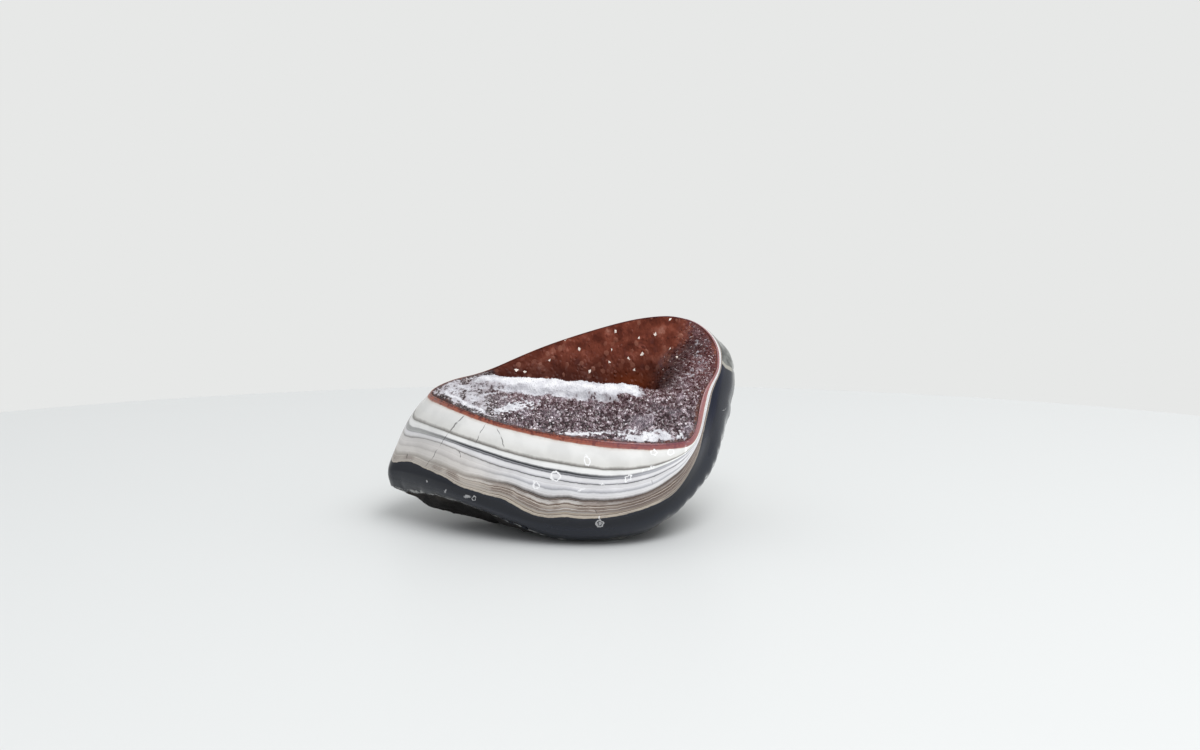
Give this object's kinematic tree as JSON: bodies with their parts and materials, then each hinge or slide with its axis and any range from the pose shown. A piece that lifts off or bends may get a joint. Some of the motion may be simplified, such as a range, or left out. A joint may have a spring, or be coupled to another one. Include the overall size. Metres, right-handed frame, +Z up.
{
  "type": "amethyst and jasper geode specimen",
  "caption": "Polished banded agate geode that stands on a small flat spot, with a slanting hollow lined by a crust of amethyst and quartz crystals behind a thin red jasper band.",
  "frame": {"origin": "centre of the object's bounding box at the surface it stands on", "axes": "+X along the specimen's length towards its high rounded end, +Y towards the natural skin at the back, so the polished banded face looks along -Y, +Z up"},
  "size_m": [0.1025, 0.0598, 0.0583],
  "materials": {
    "polished_agate": "polished banded agate at the front, natural rough skin behind and below",
    "quartz_druse": "small glassy amethyst and iron-stained quartz crystals with a white powdery ledge"
  },
  "bodies": {
    "root": {"stone": "polished_agate", "crystal_crust": "quartz_druse"}
  },
  "joints": []
}
